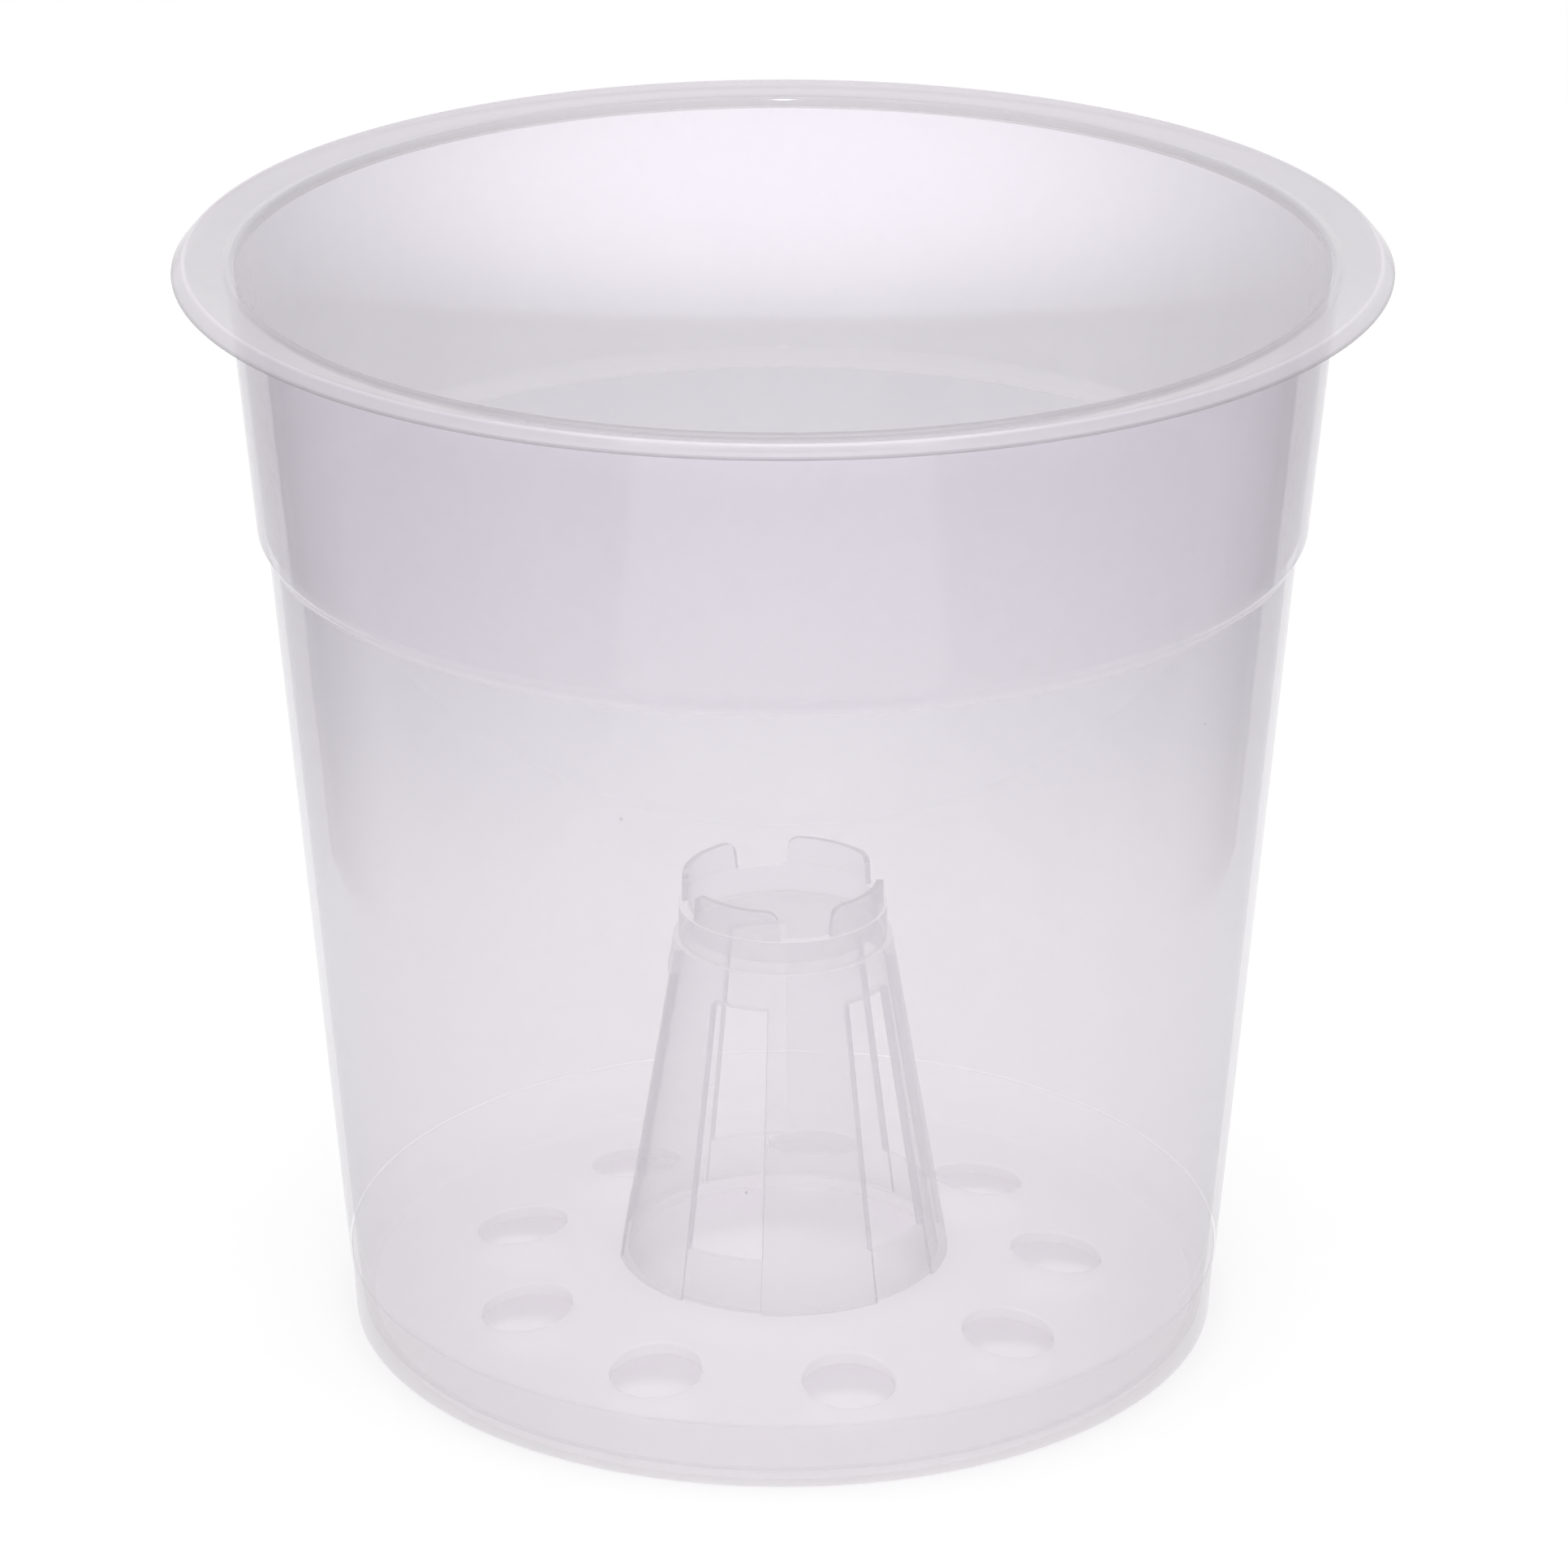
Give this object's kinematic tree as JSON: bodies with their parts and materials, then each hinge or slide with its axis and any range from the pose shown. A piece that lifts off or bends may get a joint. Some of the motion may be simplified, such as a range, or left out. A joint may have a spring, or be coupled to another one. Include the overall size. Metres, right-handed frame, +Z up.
{
  "type": "orchid pot with slots",
  "caption": "Clear tapered orchid pot with a flanged rim, a stacking step, a domed floor with drain holes and a hollow slotted air cone topped by a lobed crown.",
  "frame": {"origin": "centre of the flat ring that the pot stands on", "axes": "+Z up along the pot's axis, -Y towards the viewer of the reference picture, +X to their right"},
  "size_m": [0.12, 0.12, 0.1138],
  "materials": {
    "clear_plastic": "glossy"
  },
  "bodies": {
    "root": {"rim_flange": "clear_plastic", "collar": "clear_plastic", "side_wall": "clear_plastic", "foot_ring": "clear_plastic", "floor": "clear_plastic", "slotted_cone": "clear_plastic", "cone_crown": "clear_plastic"}
  },
  "joints": []
}
